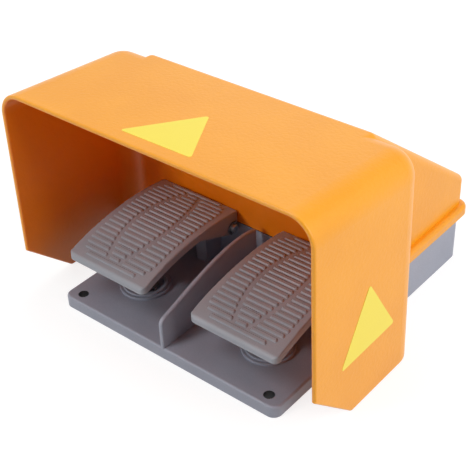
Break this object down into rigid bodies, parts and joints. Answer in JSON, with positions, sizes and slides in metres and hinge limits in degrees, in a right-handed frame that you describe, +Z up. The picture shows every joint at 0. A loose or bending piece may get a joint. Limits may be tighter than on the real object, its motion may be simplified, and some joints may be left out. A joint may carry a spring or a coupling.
{
  "type": "double foot switch",
  "caption": "Cast guard hood over twin sprung foot pedals, whose tails push snap-action switches in a sloping rear housing on a bolt-down base.",
  "frame": {"origin": "on the floor, under the middle of the whole object's box", "axes": "+X to the right pedal, +Y from the toe end to the cable gland, +Z up"},
  "size_m": [0.2416, 0.23, 0.1549],
  "materials": {
    "orange_paint": "orange-peel stoved paint on a casting",
    "grey_paint": "satin grey paint on a casting",
    "pedal_paint": "satin warm grey paint on a casting",
    "zinc_steel": "zinc plated",
    "spring_steel": "oiled spring steel",
    "black_rubber": "matt",
    "black_plastic": "moulded, fine matt",
    "white_plastic": "moulded nylon",
    "red_plastic": "moulded acetal",
    "brass": "bright"
  },
  "bodies": {
    "housing": {"base_casting": "grey_paint", "circlips": "spring_steel", "clamp_screws": "zinc_steel", "cover_gasket": "black_rubber", "cover_screws": "zinc_steel", "earth_screw": "brass", "earth_washer": "zinc_steel", "floor_screws": "zinc_steel", "gland_body": "black_plastic", "gland_locknut": "black_plastic", "gland_nut": "black_plastic", "gland_seal": "black_rubber", "guard_cover": "orange_paint", "left_hinge_pin": "zinc_steel", "left_return_spring": "spring_steel", "left_switch_body": "black_plastic", "lip_seal": "black_rubber", "rest_bumpers": "black_rubber", "right_hinge_pin": "zinc_steel", "right_return_spring": "spring_steel", "right_switch_body": "black_plastic", "switch_bracket": "zinc_steel", "switch_nuts": "zinc_steel", "switch_screws": "zinc_steel", "switch_terminals": "brass", "terminal_block": "white_plastic"},
    "left_pedal_lever": {"left_pedal": "pedal_paint", "left_adjusting_screw": "zinc_steel", "left_lock_nut": "zinc_steel"},
    "left_plunger": {"left_switch_plunger": "red_plastic"},
    "right_pedal_lever": {"right_pedal": "pedal_paint", "right_adjusting_screw": "zinc_steel", "right_lock_nut": "zinc_steel"},
    "right_plunger": {"right_switch_plunger": "red_plastic"}
  },
  "joints": [
    {"name": "left_pedal_hinge", "type": "hinge", "parent": "housing", "child": "left_pedal_lever", "pos_m": [-0.0527, -0.01815, 0.0396], "axis": [1, 0, 0], "range_deg": [0, 8], "stiffness_Nm_per_rad": 7, "springref_deg": -10.89, "deforming": ["left_return_spring"]},
    {"name": "left_plunger_slide", "type": "slide", "parent": "housing", "child": "left_plunger", "axis": [0, 0, 1], "range_m": [0, 0.005], "stiffness_N_per_m": 400, "springref_m": -0.002},
    {"name": "right_pedal_hinge", "type": "hinge", "parent": "housing", "child": "right_pedal_lever", "pos_m": [0.0527, -0.01815, 0.0396], "axis": [1, 0, 0], "range_deg": [0, 8], "stiffness_Nm_per_rad": 7, "springref_deg": -10.89, "deforming": ["right_return_spring"]},
    {"name": "right_plunger_slide", "type": "slide", "parent": "housing", "child": "right_plunger", "axis": [0, 0, 1], "range_m": [0, 0.005], "stiffness_N_per_m": 400, "springref_m": -0.002}
  ],
  "couplings": [
    {"joint": "left_plunger_slide", "follows": "left_pedal_hinge", "m_per_rad": 0.0347},
    {"joint": "right_plunger_slide", "follows": "right_pedal_hinge", "m_per_rad": 0.0347}
  ]
}
